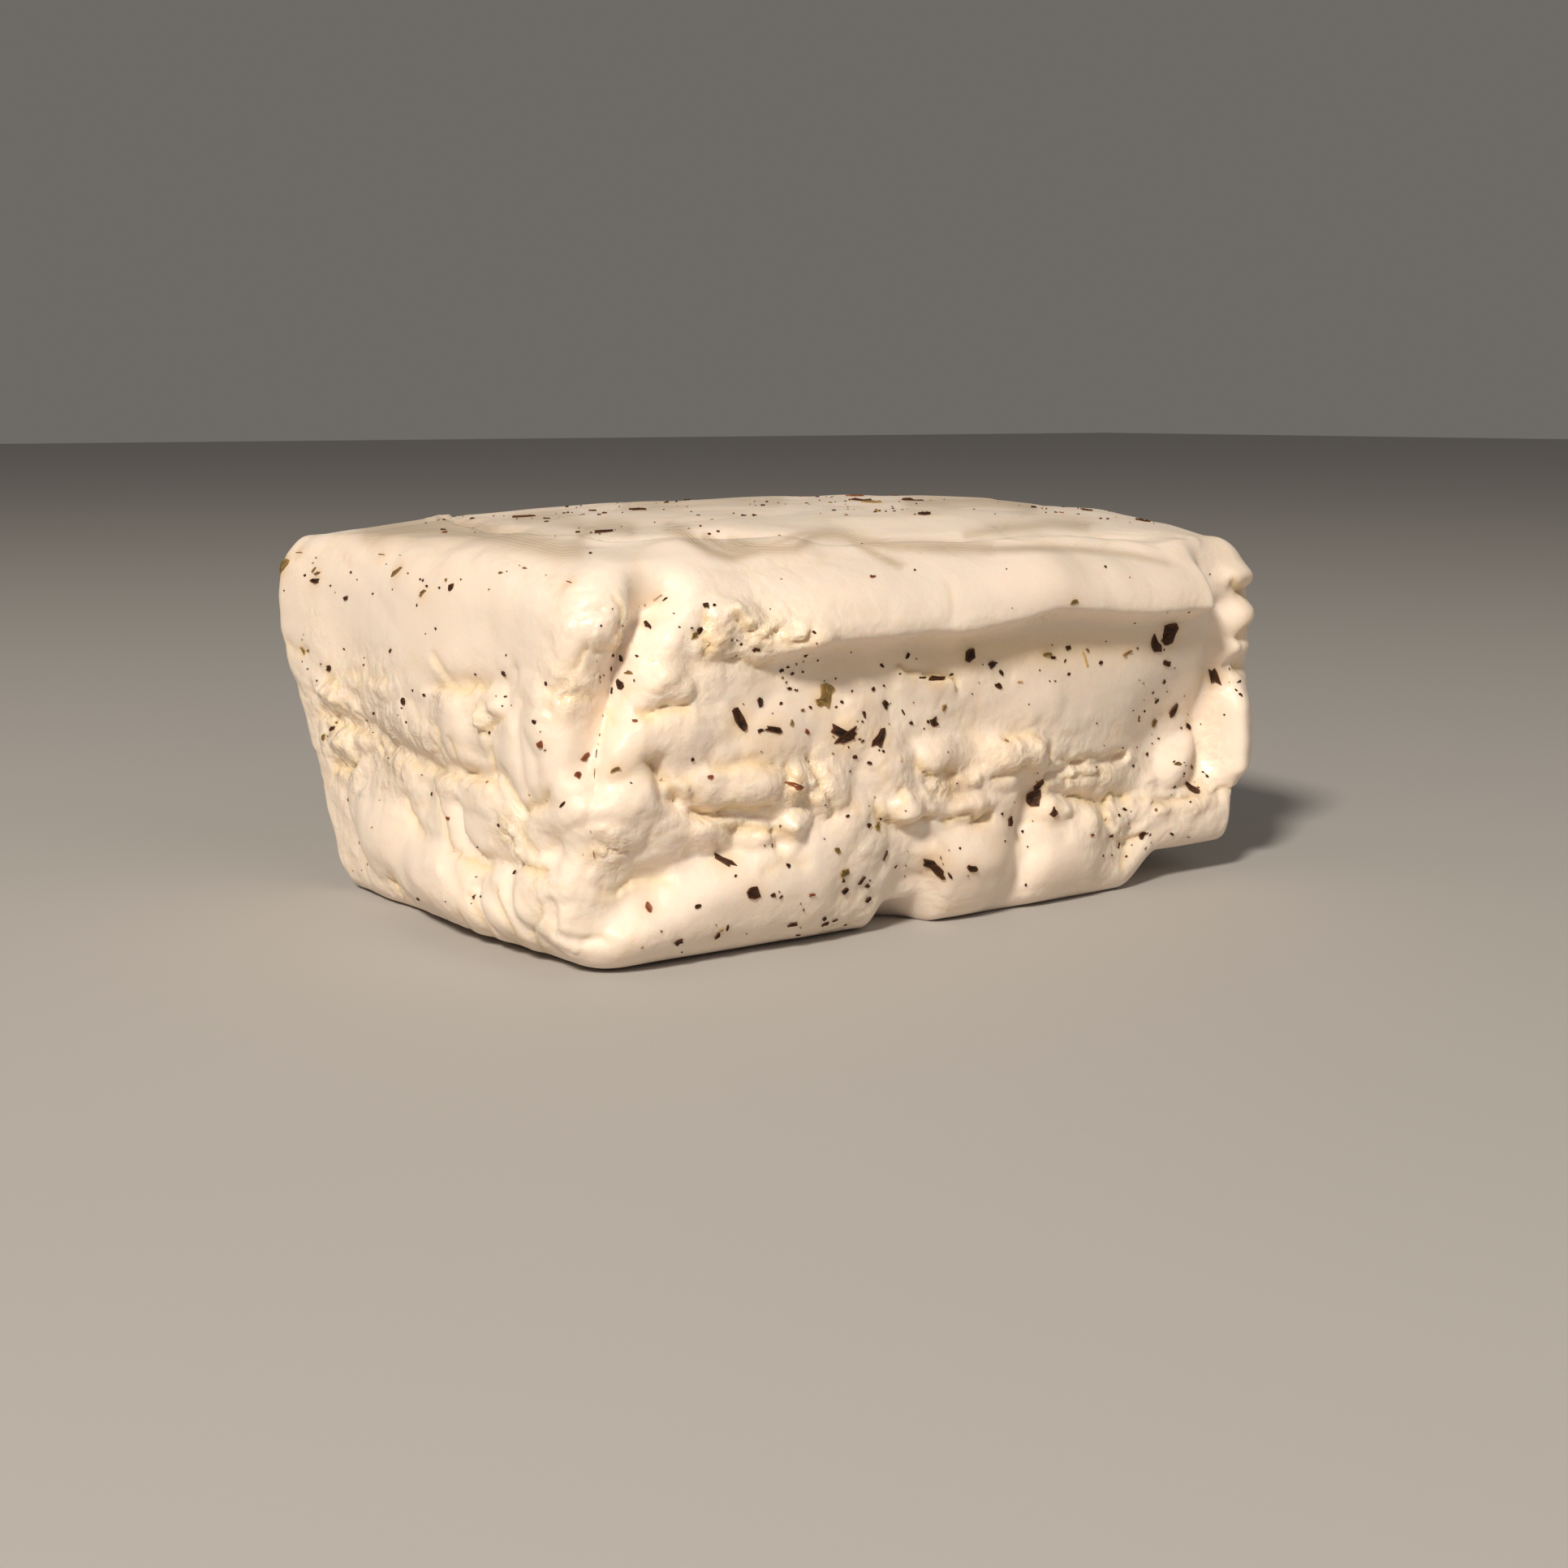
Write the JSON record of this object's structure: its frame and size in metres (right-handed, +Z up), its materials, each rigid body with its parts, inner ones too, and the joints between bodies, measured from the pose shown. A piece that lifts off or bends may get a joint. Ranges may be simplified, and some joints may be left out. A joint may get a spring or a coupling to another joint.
{
  "type": "halloumi cheese block",
  "caption": "Hand-folded block of halloumi with dried mint flakes pressed into its creased, lumpy sides, resting on a flat base.",
  "frame": {"origin": "middle of the block's outer box, on the flat base", "axes": "+Z up, +X along the long front face, +Y from the front face to the back"},
  "size_m": [0.0984, 0.0749, 0.0437],
  "materials": {
    "cheese": "moist, slightly glossy"
  },
  "bodies": {
    "root": {"halloumi": "cheese"}
  },
  "joints": []
}
